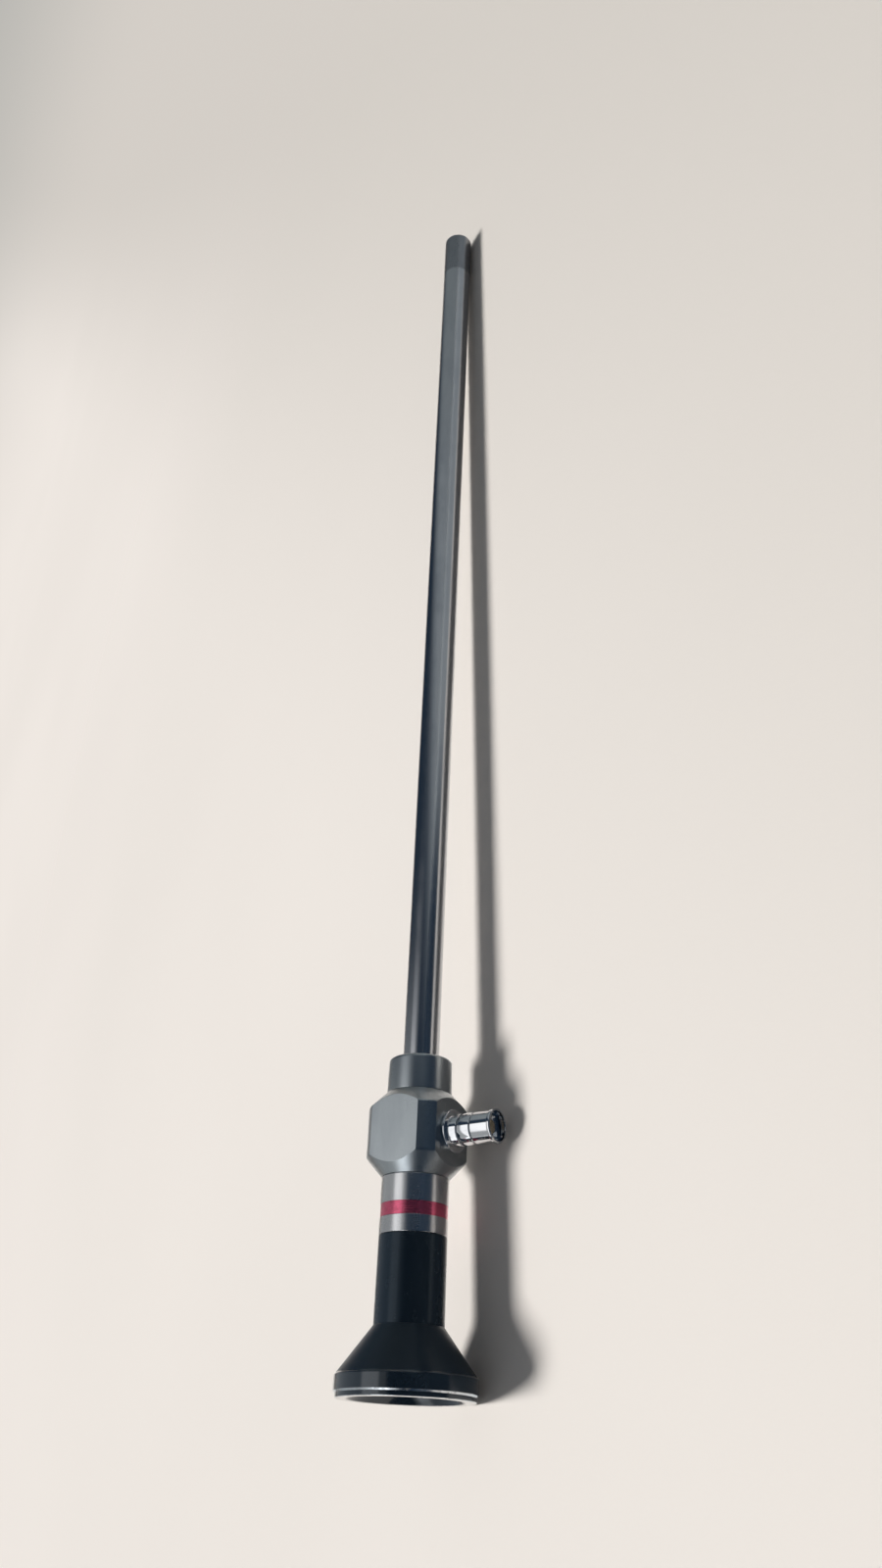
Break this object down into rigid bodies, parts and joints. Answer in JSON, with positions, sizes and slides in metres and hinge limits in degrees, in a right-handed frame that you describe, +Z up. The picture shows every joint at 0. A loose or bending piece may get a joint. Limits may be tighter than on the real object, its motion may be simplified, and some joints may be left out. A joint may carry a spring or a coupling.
{
  "type": "rigid endoscope",
  "caption": "Rigid straight-view endoscope with a round steel shaft, a four-flat body with a side light post, a red ring and a black funnel eyecup, lying on its rim, post and tip.",
  "frame": {"origin": "on the floor, below the middle of the bounding box", "axes": "+Z up, +Y along the instrument towards the tip of the shaft, +X to the side of the light post"},
  "size_m": [0.043, 0.417, 0.0367],
  "materials": {
    "polished_steel": "polished stainless steel tube",
    "blasted_steel": "fine bead-blasted stainless steel",
    "chromed_post": "bright polished, edges eased",
    "black_gloss": "turned black plastic, polished",
    "black_tube": "black anodised, satin",
    "red_ring": "crimson resin inlay",
    "black_brass": "blackened against stray light",
    "black_alloy": "black anodised against stray light",
    "optical_glass": "polished, coated",
    "fibre_glass": "potted bundle with ground faces",
    "seal_rubber": "moulded seal"
  },
  "bodies": {
    "root": {"outer_tube": "polished_steel", "inner_tube": "polished_steel", "neck_sleeve": "polished_steel", "body_housing": "blasted_steel", "front_collar": "blasted_steel", "light_post": "chromed_post", "first_adapter": "chromed_post", "end_adapter": "chromed_post", "fibre_ferrule": "chromed_post", "eyecup": "black_gloss", "eyepiece_tube": "black_tube", "colour_ring": "red_ring", "objective_cell": "black_brass", "objective_stop": "black_brass", "lens_spacer_1": "black_brass", "lens_spacer_2": "black_brass", "lens_spacer_3": "black_brass", "lens_spacer_4": "black_brass", "lens_spacer_5": "black_brass", "field_holder": "black_alloy", "field_stop": "black_alloy", "ocular_cell": "black_alloy", "ocular_spacer": "black_alloy", "ocular_retainer": "black_alloy", "cover_retainer": "black_alloy", "distal_window": "optical_glass", "objective_front_lens": "optical_glass", "objective_rear_lens": "optical_glass", "rod_lens_1": "optical_glass", "rod_lens_2": "optical_glass", "rod_lens_3": "optical_glass", "rod_lens_4": "optical_glass", "rod_lens_5": "optical_glass", "rod_lens_6": "optical_glass", "ocular_rear_lens": "optical_glass", "ocular_front_lens": "optical_glass", "cover_glass": "optical_glass", "light_fibres": "fibre_glass", "cover_gasket": "seal_rubber", "neck_seal": "seal_rubber", "collar_gasket": "seal_rubber"}
  },
  "joints": []
}
